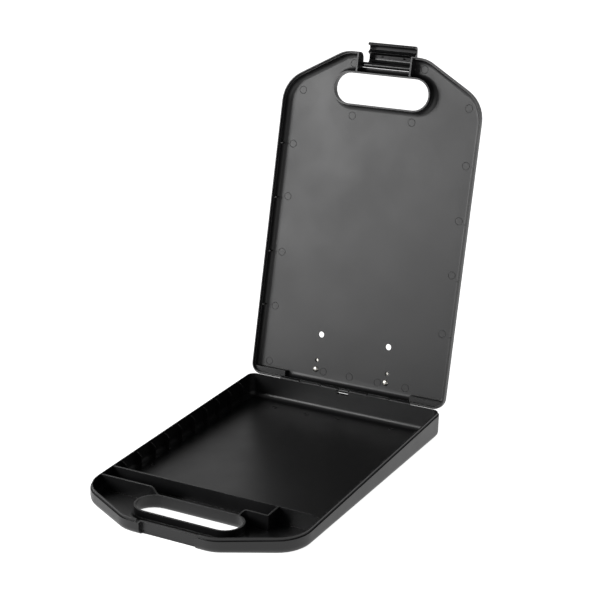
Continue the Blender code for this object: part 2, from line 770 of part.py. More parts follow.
def build_latch(plastic, steel, hinge):
    """The front latch, on its own axle in the lid's bay."""
    pivot = bpy.data.objects.new("latch_pivot", None)
    parts.objects.link(pivot)
    pivot.parent = hinge
    pivot.location = (0, lid_y(LID_LENGTH - LATCH_PIVOT_FROM_END), lid_z(LATCH_PIVOT_DEPTH))
    pivot.rotation_euler.x = -radians(LATCH_OPEN_ANGLE)

    half = LATCH_WIDTH / 2
    latch = side_profile("latch", latch_outline(), (-half, half), parts)
    barrel_half = LATCH_BAY_HALF - GAP
    barrel = rod("latch_barrel", LATCH_BARREL_RADIUS, (-barrel_half, barrel_half), 0, 0)
    bore = rod(
        "latch_bore", LATCH_PIN_RADIUS + PIN_CLEARANCE, (-barrel_half - ABOVE, barrel_half + ABOVE), 0, 0
    )
    join(latch, barrel)
    cut(latch, bore)
    follow(pivot, barrel, bore)
    finish(latch, plastic, pivot)

    reach = LATCH_BAY_HALF + LATCH_CHEEK
    pin = rod("latch_pin", LATCH_PIN_RADIUS, (-reach, reach), 0, 0, group=parts)
    finish(pin, steel, pivot)


# ---------------------------------------------------------------- spring clip

def clip_face():
    """Height in the lid's frame of the outer face that the clip sits on."""
    return lid_z(LID_DEPTH)


def clip_plate_top():
    return clip_face() + GAP + CLIP_SHEET


def ear_outline(base, radius):
    """A round-topped upright tab about the jaw's axis, from the base height up, as (Y, Z)."""
    foot = EAR_LENGTH / 2
    return [(-foot, base), (foot, base)] + arc((0, 0), radius, 0, 180, 10)


def build_clip_plate(steel, jaw_place, hinge):
    """The riveted steel plate with two upright ears."""
    low = clip_face() + GAP
    half = CLIP_WIDTH / 2 - 0.003
    rear = lid_y(CLIP_PLATE_START)
    front = rear - CLIP_PLATE_LENGTH
    corner = 0.004
    outline = rounded(
        [(-half, front, corner), (half, front, corner), (half, rear, corner), (-half, rear, corner)], 4
    )
    plate = slab("clip_base_plate", outline, low, clip_plate_top(), group=parts)
    base = low + CLIP_SHEET / 2 - jaw_place.z
    for side in (-1, 1):
        label = "left" if side < 0 else "right"
        x = side * EAR_X
        ear = side_profile(
            f"ear_{label}", [(y + jaw_place.y, z + jaw_place.z) for y, z in
                             ear_outline(base, 0.0033)],
            (x - CLIP_SHEET / 2, x + CLIP_SHEET / 2),
        )
        join(plate, ear)
        hole = post(
            f"plate_rivet_hole_{label}", RIVET_RADIUS + GAP, side * RIVET_X, lid_y(RIVET_FROM_END),
            (low - ABOVE, low + ABOVE),
        )
        cut(plate, hole)
        follow(hinge, ear, hole)
    bore = rod(
        "ear_bore", JAW_PIN_RADIUS + PIN_CLEARANCE, (-EAR_X - ABOVE, EAR_X + ABOVE),
        jaw_place.y, jaw_place.z,
    )
    cut(plate, bore)
    follow(hinge, bore)
    finish(plate, steel, hinge)


def jaw_line():
    """The jaw sheet's section about its axis, tail to lip, as (Y, Z) of the sheet's middle."""
    lip = -JAW_PIVOT_HEIGHT + GAP + JAW_SHEET / 2
    crown = JAW_CROWN_ABOVE_PIN
    return [
        (JAW_TAIL, crown + 0.0030),
        (JAW_TAIL * 0.75, crown + 0.0014),
        (JAW_TAIL * 0.40, crown + 0.0003),
        (0, crown),
        (-JAW_REACH * 0.28, crown - 0.0010),
        (-JAW_REACH * 0.55, crown - 0.0034),
        (-JAW_REACH * 0.79, crown - 0.0074),
        (-JAW_REACH * 0.94, lip + 0.0018),
        (-JAW_REACH, lip),
    ]


def build_jaw(steel, jaw_pivot):
    """The bent sheet-steel jaw, with a lug outside each ear of the plate."""
    half = CLIP_WIDTH / 2
    builder = bmesh.new()
    rails = [[builder.verts.new((x, y, z)) for y, z in jaw_line()] for x in (half, -half)]
    for i in range(len(rails[0]) - 1):
        builder.faces.new((rails[0][i], rails[0][i + 1], rails[1][i + 1], rails[1][i]))
    jaw = link("clip_jaw", builder, parts)
    sheet = jaw.modifiers.new("sheet", "SOLIDIFY")
    sheet.thickness = JAW_SHEET
    sheet.offset = 0
    sheet.use_even_offset = True
    lug_gap = CLIP_SHEET / 2 + GAP
    crown = JAW_CROWN_ABOVE_PIN
    for side in (-1, 1):
        inner = side * (EAR_X + lug_gap)
        outer = side * (EAR_X + lug_gap + JAW_SHEET)
        outline = [(0.0045, crown), (-0.0045, crown - 0.0002)] + arc((0, 0), 0.0030, 180, 360, 8)
        lug = side_profile(
            f"jaw_lug_{'left' if side < 0 else 'right'}", outline, (min(inner, outer), max(inner, outer))
        )
        join(jaw, lug)
        follow(jaw_pivot, lug)
    bore = rod("jaw_bore", JAW_PIN_RADIUS + PIN_CLEARANCE, (-half, half), 0, 0)
    cut(jaw, bore)
    follow(jaw_pivot, bore)
    finish(jaw, steel, jaw_pivot)


def build_spring(name, side, steel, jaw_pivot):
    """A torsion spring round the jaw's axle: one leg on the plate, one under the jaw's tail."""
    per_turn = 10
    start = side * 0.0400
    plate_top = GAP + CLIP_SHEET - JAW_PIVOT_HEIGHT
    leg_height = plate_top + GAP + SPRING_WIRE_RADIUS
    exit_turns = 60 / 360
    points = [(start, -0.0140, leg_height + 0.0001), (start, -0.0050, leg_height + 0.0012)]
    count = round((SPRING_TURNS + exit_turns) * per_turn)
    for i in range(count + 1):
        share = i / count
        angle = -pi / 2 - 2 * pi * (SPRING_TURNS + exit_turns) * share
        x = start + side * SPRING_PITCH * SPRING_TURNS * share
        points.append((x, -SPRING_RADIUS * cos(angle), SPRING_RADIUS * sin(angle)))
    last = points[-1]
    points.append((last[0], last[1] + 0.0030, last[2] + 0.0052))
    curve = bpy.data.curves.new(name, "CURVE")
    curve.dimensions = "3D"
    curve.bevel_depth = SPRING_WIRE_RADIUS
    curve.bevel_resolution = 2
    curve.use_fill_caps = True
    spline = curve.splines.new("POLY")
    spline.points.add(len(points) - 1)
    for point, place in zip(spline.points, points):
        point.co = (*place, 1)
    spring = bpy.data.objects.new(name, curve)
    parts.objects.link(spring)
    curve.materials.append(steel)
    spring.parent = jaw_pivot


def build_rivet(name, side, steel, hinge):
    """A round-headed rivet through the plate and the lid, turned about its own axis."""
    outer = clip_plate_top() + GAP
    inner = lid_z(LID_DEPTH - PANEL) - GAP
    dome = [(0, 1), (0.38, 0.93), (0.71, 0.71), (0.92, 0.38), (1, 0)]
    profile = [(r * RIVET_HEAD_RADIUS, outer + h * RIVET_HEAD_HEIGHT) for r, h in dome]
    profile += [(RIVET_RADIUS, outer), (RIVET_RADIUS, inner)]
    profile += [(r * RIVET_HEAD_RADIUS, inner - h * RIVET_HEAD_HEIGHT) for r, h in reversed(dome)]
    builder = bmesh.new()
    ring = [builder.verts.new((r, 0, z)) for r, z in profile]
    for first, second in zip(ring, ring[1:]):
        builder.edges.new((first, second))
    rivet = link(name, builder, parts)
    turn = rivet.modifiers.new("turn", "SCREW")
    turn.steps = 20
    turn.render_steps = 20
    turn.use_merge_vertices = True
    turn.merge_threshold = 0.00001
    rivet.location = (side * RIVET_X, lid_y(RIVET_FROM_END), 0)
    rivet.parent = hinge
    rivet.data.materials.append(steel)


def build_clip(nickel, spring_steel, hinge):
    """The whole spring clip: plate, jaw, axle, two springs and two rivets."""
    place = Vector((0, lid_y(JAW_PIVOT_FROM_END), clip_face() + JAW_PIVOT_HEIGHT))
    jaw_pivot = bpy.data.objects.new("jaw_pivot", None)
    parts.objects.link(jaw_pivot)
    jaw_pivot.parent = hinge
    jaw_pivot.location = place

    build_clip_plate(nickel, place, hinge)
    build_jaw(nickel, jaw_pivot)
    reach = EAR_X + CLIP_SHEET / 2 + GAP + JAW_SHEET + 0.0015
    pin = rod("clip_pin", JAW_PIN_RADIUS, (-reach, reach), 0, 0, group=parts)
    finish(pin, nickel, jaw_pivot)
    for side, label in ((-1, "left"), (1, "right")):
        build_spring(f"clip_spring_{label}", side, spring_steel, jaw_pivot)
        build_rivet(f"rivet_{label}", side, nickel, hinge)


# ---------------------------------------------------------------- assembly

def build():
    clear_scene()
    tray_plastic = material("tray_plastic", (0.018, 0.018, 0.019), 0.42)
    lid_plastic = material("lid_plastic", (0.020, 0.020, 0.021), 0.45)
    latch_plastic = material("latch_plastic", (0.012, 0.012, 0.013), 0.35)
    nickel = material("nickel_plate", (0.62, 0.61, 0.59), 0.28, 1.0)
    steel = material("bright_steel", (0.55, 0.55, 0.56), 0.30, 1.0)
    spring_steel = material("spring_steel", (0.38, 0.38, 0.40), 0.35, 1.0)

    build_tray(tray_plastic)
    hinge = bpy.data.objects.new("lid_hinge", None)
    parts.objects.link(hinge)
    hinge.location = (0, *hinge_place())
    hinge.rotation_euler.x = TILT - radians(OPEN_ANGLE)

    shapes_before = set(bpy.data.objects)
    build_lid(lid_plastic, hinge)
    made = set(bpy.data.objects) - shapes_before
    follow(hinge, *[item for item in made if item.name in cutters.objects])

    reach = KNUCKLE_EDGES[-1] - WALL - GAP
    pin = rod("hinge_pin", HINGE_PIN_RADIUS, (-reach, reach), *hinge_place(), group=parts)
    finish(pin, steel)
    build_latch(latch_plastic, steel, hinge)
    build_clip(nickel, spring_steel, hinge)


build()
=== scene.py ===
"""Looks of a storage clipboard that stands open: tray, lid, latch, steel clip and studio.

Every CAD node keeps its place and mesh. It is shaded smooth by modifiers and dressed with a
procedural finish. Small moulded and pressed details are added as pieces of their own.
"""

import json
import logging
from dataclasses import dataclass
from enum import Enum
from math import cos, pi, radians, sin
from typing import Any

import bmesh
import bpy
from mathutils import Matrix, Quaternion, Vector


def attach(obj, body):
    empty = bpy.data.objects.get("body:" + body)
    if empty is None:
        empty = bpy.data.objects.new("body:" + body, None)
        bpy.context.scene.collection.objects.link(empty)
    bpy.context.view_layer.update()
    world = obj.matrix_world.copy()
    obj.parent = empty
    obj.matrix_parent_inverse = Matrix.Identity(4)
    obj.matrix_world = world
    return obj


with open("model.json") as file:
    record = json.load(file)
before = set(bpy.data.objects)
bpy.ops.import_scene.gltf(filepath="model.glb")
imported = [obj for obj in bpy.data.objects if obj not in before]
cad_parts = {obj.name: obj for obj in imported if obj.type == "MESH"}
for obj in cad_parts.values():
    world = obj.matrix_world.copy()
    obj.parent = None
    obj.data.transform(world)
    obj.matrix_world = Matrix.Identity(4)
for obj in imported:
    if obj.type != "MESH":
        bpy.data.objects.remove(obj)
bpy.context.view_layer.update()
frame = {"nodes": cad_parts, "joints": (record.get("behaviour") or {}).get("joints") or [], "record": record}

LOG = logging.getLogger("storage_clipboard")
MM = 0.001
WELD_DISTANCE = 0.000002
SHARP_ANGLE = 32.0
NORMAL_WEIGHT = 80
BEVEL_SAMPLES = 4
CROWN_STEPS = 6

# Noise seldom leaves this part of its range from 0 to 1, so a spread is mapped from it.
NOISE_LOW, NOISE_HIGH = 0.3, 0.7

# The Mix node's sockets share their names between data types, so they are told apart by number.
COLOUR_A, COLOUR_B, COLOUR_OUT = 6, 7, 2
FLOAT_A, FLOAT_B, FLOAT_OUT = 2, 3, 0


class Body(Enum):
    """The rigid bodies that the added pieces ride on."""

    TRAY = "tray"
    LID = "lid"
    LATCH = "latch"


class Slot(Enum):
    """The record's material slots."""

    TRAY = "tray_plastic"
    LID = "lid_plastic"
    LATCH = "latch_plastic"
    BRIGHT_STEEL = "bright_steel"
    NICKEL = "nickel_plate"
    SPRING = "spring_steel"


class Axis(Enum):
    """Run of the marks on a metal, as the scale of their pattern along X, Y and Z."""

    X = (0.04, 1.0, 1.0)
    NONE = (1.0, 1.0, 1.0)


# ---------------------------------------------------------------- node helpers

def linear(hex_colour: str) -> tuple[float, float, float, float]:
    """Turn an sRGB hex colour into the linear RGBA that shaders take.

    Args:
        hex_colour: Six hex digits after a hash sign.

    Returns:
        Red, green, blue and an alpha of 1, in linear light.
    """
    values = [int(hex_colour[i:i + 2], 16) / 255 for i in (1, 3, 5)]
    low = [v / 12.92 if v <= 0.04045 else ((v + 0.055) / 1.055) ** 2.4 for v in values]
    return (low[0], low[1], low[2], 1.0)


WHITE = linear("#ffffff")


def add_node(
    tree: bpy.types.NodeTree, kind: str, links: dict[Any, Any] | None = None, **settings: Any
) -> bpy.types.Node:
    """Add one node, set its properties, and fill or link its inputs.

    Args:
        tree: The node tree to add to.
        kind: The node's type name.
        links: Input name or index to a value, or to the output socket that feeds it.
        settings: Properties of the node itself.

    Returns:
        The new node.
    """
    node = tree.nodes.new(kind)
    for name, value in settings.items():
        setattr(node, name, value)
    for key, value in (links or {}).items():
        if isinstance(value, bpy.types.NodeSocket):
            tree.links.new(value, node.inputs[key])
        else:
            node.inputs[key].default_value = value
    return node


def new_tree(name: str) -> tuple[bpy.types.Material, bpy.types.NodeTree]:
    """Make a material with an empty node tree.

    Args:
        name: The material's name.

    Returns:
        The material and its tree.
    """
    material = bpy.data.materials.new(name)
    material.use_nodes = True
    material.node_tree.nodes.clear()
    return material, material.node_tree


# ---------------------------------------------------------------- finishes

@dataclass(frozen=True)
class MouldedPlastic:
    """Injection-moulded plastic from a spark-eroded tool: even black with a fine grain.

    Attributes:
        name: The material's name.
        slot: The record's slot that it stands for. Not used.
        colour: Colour of the plastic, sRGB hex.
        haze: Slightly lighter colour of the flow and handling marks, sRGB hex.
        roughness: Middle roughness of the grain.
        spread: How far the roughness wanders from its middle.
        grain_mm: Size of one grain of the texture.
        grain_depth_mm: Height of the grain.
        mottle_mm: Size of the broad patches that the melt's flow leaves.
        edge_mm: Radius that the tool leaves on edges.
        ior: Refractive index of the plastic.
        stretch: Scale of the patches' pattern along X, Y and Z. Below 1 draws them out that way.
        specular: Level of the surface reflection, 0.5 for the full one of the refractive index.
    """

    name: str
    slot: Slot
    colour: str
    haze: str
    roughness: float
    spread: float
    grain_mm: float
    grain_depth_mm: float
    mottle_mm: float
    edge_mm: float
    ior: float
    stretch: tuple[float, float, float] = (1.0, 1.0, 1.0)
    specular: float = 0.5

    def build(self) -> bpy.types.Material:
        """Make the material.

        Returns:
            The node material.
        """
        material, tree = new_tree(self.name)
        place = add_node(tree, "ShaderNodeTexCoord")
        flow = add_node(tree, "ShaderNodeMapping", {
            "Vector": place.outputs["Object"], "Scale": self.stretch,
        })
        mottle = add_node(tree, "ShaderNodeTexNoise", {
            "Vector": flow.outputs["Vector"], "Scale": 1 / (self.mottle_mm * MM),
            "Detail": 4.0, "Roughness": 0.55,
        })
        grain = add_node(tree, "ShaderNodeTexNoise", {
            "Vector": place.outputs["Object"], "Scale": 1 / (self.grain_mm * MM),
            "Detail": 2.0, "Roughness": 0.5,
        })
        colour = add_node(tree, "ShaderNodeMix", {
            0: mottle.outputs["Fac"],
            COLOUR_A: linear(self.colour), COLOUR_B: linear(self.haze),
        }, data_type="RGBA")
        rough = add_node(tree, "ShaderNodeMapRange", {
            "Value": mottle.outputs["Fac"], "From Min": NOISE_LOW, "From Max": NOISE_HIGH,
            "To Min": self.roughness - self.spread, "To Max": self.roughness + self.spread,
        })
        edge = add_node(tree, "ShaderNodeBevel", {
            "Radius": self.edge_mm * MM,
        }, samples=BEVEL_SAMPLES)
        bump = add_node(tree, "ShaderNodeBump", {
            "Height": grain.outputs["Fac"], "Normal": edge.outputs["Normal"],
            "Strength": 1.0, "Distance": self.grain_depth_mm * MM,
        })
        shader = add_node(tree, "ShaderNodeBsdfPrincipled", {
            "Base Color": colour.outputs[COLOUR_OUT], "Roughness": rough.outputs["Result"],
            "Normal": bump.outputs["Normal"], "IOR": self.ior, "Metallic": 0.0,
            "Specular IOR Level": self.specular,
        })
        add_node(tree, "ShaderNodeOutputMaterial", {"Surface": shader.outputs["BSDF"]})
        return material


@dataclass(frozen=True)
class WorkedMetal:
    """Sheet or wire steel: plated or drawn, with fine marks that run along it.

    Attributes:
        name: The material's name.
        slot: The record's slot that it stands for. Not used.
        colour: Colour of the metal where it faces the eye, sRGB hex.
        shade: Colour of its duller marks, sRGB hex.
        roughness: Middle roughness.
        spread: How far the roughness wanders from its middle.
        mark_mm: Spacing of the drawing or polishing marks.
        mark_depth_mm: Depth of those marks.
        run: Direction that the marks run.
    """

    name: str
    slot: Slot
    colour: str
    shade: str
    roughness: float
    spread: float
    mark_mm: float
    mark_depth_mm: float
    run: Axis

    def build(self) -> bpy.types.Material:
        """Make the material.

        Returns:
            The node material.
        """
        material, tree = new_tree(self.name)
        place = add_node(tree, "ShaderNodeTexCoord")
        along = add_node(tree, "ShaderNodeMapping", {
            "Vector": place.outputs["Object"], "Scale": self.run.value,
        })
        marks = add_node(tree, "ShaderNodeTexNoise", {
            "Vector": along.outputs["Vector"], "Scale": 1 / (self.mark_mm * MM),
            "Detail": 3.0, "Roughness": 0.6,
        })
        colour = add_node(tree, "ShaderNodeMix", {
            0: marks.outputs["Fac"],
            COLOUR_A: linear(self.colour), COLOUR_B: linear(self.shade),
        }, data_type="RGBA")
        rough = add_node(tree, "ShaderNodeMapRange", {
            "Value": marks.outputs["Fac"], "From Min": NOISE_LOW, "From Max": NOISE_HIGH,
            "To Min": self.roughness - self.spread, "To Max": self.roughness + self.spread,
        })
        bump = add_node(tree, "ShaderNodeBump", {
            "Height": marks.outputs["Fac"], "Strength": 1.0,
            "Distance": self.mark_depth_mm * MM,
        })
        shader = add_node(tree, "ShaderNodeBsdfPrincipled", {
            "Base Color": colour.outputs[COLOUR_OUT], "Roughness": rough.outputs["Result"],
            "Normal": bump.outputs["Normal"], "Metallic": 1.0,
        })
        add_node(tree, "ShaderNodeOutputMaterial", {"Surface": shader.outputs["BSDF"]})
        return material


# Polypropylene, moulded in a spark-eroded tool. It gives the eye an even satin black whose sheen
# spreads wide. Its real grain is about 0.15 mm, drawn at 0.5 mm so that it shows.
TRAY_FINISH = MouldedPlastic(
    name="moulded_polypropylene_tray", slot=Slot.TRAY, colour="#0d0d0e", haze="#121213",
    roughness=0.36, spread=0.03, grain_mm=0.5, grain_depth_mm=0.010, mottle_mm=38.0,
    edge_mm=0.45, ior=1.49,
)
# The same polypropylene on a flatter tool face, so its sheen is a little broader.
LID_FINISH = MouldedPlastic(
    name="moulded_polypropylene_lid", slot=Slot.LID, colour="#0e0e0f", haze="#131314",
    roughness=0.41, spread=0.03, grain_mm=0.5, grain_depth_mm=0.010, mottle_mm=55.0,
    edge_mm=0.45, ior=1.49,
)
# Acetal for the snap of the latch, from a polished tool. It gives tight, streaky highlights
# along its length. A polished face has no grain to see: the 2.2 mm ripple stands for the flow
# of the melt, and is drawn coarse so that it shows.
LATCH_FINISH = MouldedPlastic(
    name="moulded_acetal_latch", slot=Slot.LATCH, colour="#0b0b0c", haze="#101011",
    roughness=0.16, spread=0.06, grain_mm=2.2, grain_depth_mm=0.05, mottle_mm=5.0,
    edge_mm=0.5, ior=1.48, stretch=(0.25, 1.0, 1.0), specular=0.3,
)
# Nickel plate over pressed steel. It gives a warm grey mirror, softened by polishing marks.
NICKEL_FINISH = WorkedMetal(
    name="nickel_plated_steel", slot=Slot.NICKEL, colour="#c9c6c0", shade="#aaa7a2",
    roughness=0.22, spread=0.07, mark_mm=0.6, mark_depth_mm=0.004, run=Axis.X,
)
# Drawn steel rod. Its fine lines run along it and spread the highlight round it.
ROD_FINISH = WorkedMetal(
    name="drawn_bright_steel", slot=Slot.BRIGHT_STEEL, colour="#c2c2c4", shade="#96969a",
    roughness=0.30, spread=0.06, mark_mm=0.4, mark_depth_mm=0.004, run=Axis.X,
)
# Oiled spring wire: darker, with a thin film that evens it out.
SPRING_FINISH = WorkedMetal(
    name="oiled_spring_wire", slot=Slot.SPRING, colour="#8f8f93", shade="#6b6b70",
    roughness=0.28, spread=0.06, mark_mm=0.5, mark_depth_mm=0.003, run=Axis.NONE,
)


class Finishes:
    """Builds each finish once and hands it out."""

    def __init__(self) -> None:
        """Start with nothing built."""
        self._built: dict[str, bpy.types.Material] = {}

    def get(self, finish: MouldedPlastic | WorkedMetal) -> bpy.types.Material:
        """Give the material of a finish, building it the first time.

        Args:
            finish: The finish wanted.

        Returns:
            Its material.
        """
        if finish.name not in self._built:
            self._built[finish.name] = finish.build()
        return self._built[finish.name]


FINISHES = Finishes()


# ---------------------------------------------------------------- shading of the CAD nodes

def smoothing_group(angle_degrees: float) -> bpy.types.NodeTree:
    """Build the modifier that welds a faceted mesh and smooths it below an edge angle.

    Args:
        angle_degrees: Edges that turn more sharply than this stay sharp.

    Returns:
        The geometry node group.
    """
    group = bpy.data.node_groups.new(f"smooth_below_{angle_degrees:.0f}", "GeometryNodeTree")
    group.interface.new_socket("Geometry", in_out="INPUT", socket_type="NodeSocketGeometry")
    group.interface.new_socket("Geometry", in_out="OUTPUT", socket_type="NodeSocketGeometry")
    source = add_node(group, "NodeGroupInput")
    weld = add_node(group, "GeometryNodeMergeByDistance", {
        "Geometry": source.outputs[0], "Distance": WELD_DISTANCE,
    })
    faces = add_node(group, "GeometryNodeSetShadeSmooth", {
        0: weld.outputs[0], "Shade Smooth": True,
    }, domain="FACE")
    angle = add_node(group, "GeometryNodeInputMeshEdgeAngle")
    sharp = add_node(group, "FunctionNodeCompare", {
        0: angle.outputs[0], 1: radians(angle_degrees),
    }, data_type="FLOAT", operation="GREATER_THAN")
    edges = add_node(group, "GeometryNodeSetShadeSmooth", {
        0: faces.outputs[0], 1: sharp.outputs[0], "Shade Smooth": False,
    }, domain="EDGE")
    add_node(group, "NodeGroupOutput", {0: edges.outputs[0]})
    return group


SMOOTHING = smoothing_group(SHARP_ANGLE)


def dress_node(node: str, finish: MouldedPlastic | WorkedMetal) -> bpy.types.Object:
    """Smooth a CAD node by modifiers and give it a finish.

    Args:
        node: The CAD node's name.
        finish: The finish it takes.

    Returns:
        The node's object.
    """
    piece = frame["nodes"][node]
    smooth = piece.modifiers.new("smooth_by_angle", "NODES")
    smooth.node_group = SMOOTHING
    weighted = piece.modifiers.new("even_normals", "WEIGHTED_NORMAL")
    weighted.keep_sharp = True
    weighted.weight = NORMAL_WEIGHT
    for slot in piece.material_slots:
        slot.material = FINISHES.get(finish)
    LOG.info("dressed %s with %s", node, finish.name)
    return piece


def detail(
    name: str, builder: bmesh.types.BMesh, body: Body, finish: MouldedPlastic | WorkedMetal,
) -> bpy.types.Object:
    """Make an added piece from mesh data, dress it, and let it ride on a body.

    Args:
        name: The piece's name.
        builder: Its mesh, which is freed here.
        body: The body that it rides on.
        finish: The finish it takes.

    Returns:
        The new piece.
    """
    mesh = bpy.data.meshes.new(name)
    bmesh.ops.recalc_face_normals(builder, faces=builder.faces)
    for face in builder.faces:
        face.smooth = True
    builder.to_mesh(mesh)
    builder.free()
    piece = bpy.data.objects.new(name, mesh)
    bpy.context.scene.collection.objects.link(piece)
    mesh.materials.append(FINISHES.get(finish))
    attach(piece, body.value)
    LOG.info("added %s on %s", name, body.value)
    return piece


def revolve(
    builder: bmesh.types.BMesh, profile: list[tuple[float, float]], centre: Vector,
    across: Vector, up: Vector, steps: int,
) -> None:
    """Turn a closed profile about an axis.

    Args:
        builder: The mesh to add to.
        profile: Points as (radius, height), in order round the section.
        centre: A point on the axis at height 0.
        across: A unit vector square to the axis.
        up: The unit vector along the axis.
        steps: How many flat sides stand for the circle.
    """
    side = up.cross(across)
    rings = []
    for i in range(steps):
        turn = 2 * pi * i / steps
        out = across * cos(turn) + side * sin(turn)
        rings.append([builder.verts.new(centre + out * r + up * h) for r, h in profile])
    count = len(profile)
    for i in range(steps):
        first, second = rings[i], rings[(i + 1) % steps]
        for j in range(count):
            k = (j + 1) % count
            builder.faces.new((first[j], second[j], second[k], first[k]))


def rounded_ring(radius: float, width: float, height: float) -> list[tuple[float, float]]:
    """Section of a low raised ring, sunk a little into what it stands on.

    Args:
        radius: Middle radius of the ring.
        width: Width of the ring.
        height: How far it stands proud.

    Returns:
        The section's points as (radius, height).
    """
    half = width / 2
    crown = []
    for i in range(CROWN_STEPS + 1):
        turn = pi * i / CROWN_STEPS
        crown.append((radius + half * cos(turn), height * sin(turn)))
    return crown + [(radius - half, -height), (radius + half, -height)]


# ---------------------------------------------------------------- sub-assemblies

def joint_place(name: str) -> list[float]:
    """Give the place of one of the part's joints, in metres."""
    return next(joint for joint in frame["joints"] if joint["name"] == name)["pos_m"]


@dataclass(frozen=True)
class LidPlace:
    """Where the open lid stands: its own directions and the corner they are measured from.

    Attributes:
        origin: Middle of the lid's hinge end, on its rim plane.
        along: Unit vector from the hinge end to the handle end.
        outward: Unit vector from the inside to the writing face.
    """

    origin: Vector
    along: Vector
    outward: Vector

    def at(self, x: float, along: float, depth: float) -> Vector:
        """Give the point this far across, along and behind the rim, in metres."""
        return self.origin + Vector((x, 0, 0)) + self.along * along + self.outward * depth


def lid_place(setback: float = 0.3 * MM, rise: float = 1.1 * MM) -> LidPlace:
    """Read the open lid's place from the record's hinge and writing face.

    Args:
        setback: Distance from the lid's end to the hinge axis, along the lid.
        rise: Distance from the rim plane to the hinge axis, across the lid.

    Returns:
        The lid's place at rest.
    """
    face = next(m for m in frame["record"]["mounts"] if m["name"] == "writing_face")
    outward = Vector(face["axis"]).normalized()
    along = Vector((0, -outward.z, outward.y))
    origin = Vector(joint_place("lid_hinge")) + along * setback - outward * rise
    return LidPlace(origin, along, outward)


@dataclass
class Tray:
    """The lower half, with the small marks that its moulding leaves on the floor.

    Attributes:
        floor: Height of the tray's inner floor.
        pip_radius: Middle radius of a pip's raised ring.
        pip_width: Width of that ring.
        pip_height: How far it stands proud.
        pip_steps: How many flat sides stand for its circle.
        pips: Places of the pips on the floor, in mm.
    """

    floor: float = 2.2 * MM
    pip_radius: float = 2.4 * MM
    pip_width: float = 1.0 * MM
    pip_height: float = 0.40 * MM
    pip_steps: int = 32
    pips: tuple[tuple[float, float], ...] = (
        (-74.3, 162.0), (-33.5, 161.4), (2.7, 167.2), (67.3, 171.3), (-105.3, -46.6),
    )

    def dress(self) -> None:
        """Give the tray its plastic."""
        dress_node("base_tray", TRAY_FINISH)

    def floor_pips(self) -> bpy.types.Object:
        """Make the low ringed pips that the ejector pins leave.

        Returns:
            The piece.
        """
        builder = bmesh.new()
        section = rounded_ring(self.pip_radius, self.pip_width, self.pip_height)
        for x, y in self.pips:
            centre = Vector((x * MM, y * MM, self.floor))
            across, up = Vector((1, 0, 0)), Vector((0, 0, 1))
            revolve(builder, section, centre, across, up, self.pip_steps)
        return detail("tray_floor_pips", builder, Body.TRAY, TRAY_FINISH)

    def build(self) -> None:
        """Dress the tray and add its details."""
        self.dress()
        self.floor_pips()


@dataclass
class Lid:
    """The upper half, with the witness rings of its ejector pins inside.

    Attributes:
        place: Where the open lid stands.
        panel_depth: Depth of the panel's inner face behind the rim plane.
        ring_radius: Middle radius of a witness ring.
        ring_width: Width of the raised line.
        ring_height: How far it stands proud.
        ring_steps: How many flat sides stand for its circle.
        rings: Places of the rings as (across, along), in mm.
    """

    place: LidPlace
    panel_depth: float = 12.2 * MM
    ring_radius: float = 4.1 * MM
    ring_width: float = 0.7 * MM
    ring_height: float = 0.20 * MM
    ring_steps: int = 40
    rings: tuple[tuple[float, float], ...] = (
        (-101.0, 330.4), (101.0, 330.4), (-36.3, 308.0), (36.3, 308.0), (-106.0, 268.3),
        (106.0, 268.3), (-104.9, 207.9), (106.0, 207.9), (-104.3, 143.3), (106.0, 148.0),
        (-105.0, 79.9), (103.5, 82.3), (-104.3, 14.9), (-34.2, 14.6), (-1.0, 14.6),
        (34.1, 14.6), (68.2, 14.6), (44.1, 367.0), (-41.3, 366.0),
    )

    def dress(self) -> None:
        """Give the lid its plastic."""
        dress_node("lid_shell", LID_FINISH)

    def witness_rings(self) -> bpy.types.Object:
        """Make the faint rings on the panel's inner face.

        Returns:
            The piece.
        """
        builder = bmesh.new()
        section = rounded_ring(self.ring_radius, self.ring_width, self.ring_height)
        inward = -self.place.outward
        for x, along in self.rings:
            centre = self.place.at(x * MM, along * MM, self.panel_depth)
            revolve(builder, section, centre, Vector((1, 0, 0)), inward, self.ring_steps)
        return detail("lid_witness_rings", builder, Body.LID, LID_FINISH)

    def build(self) -> None:
        """Dress the lid and add its details."""
        self.dress()
        self.witness_rings()


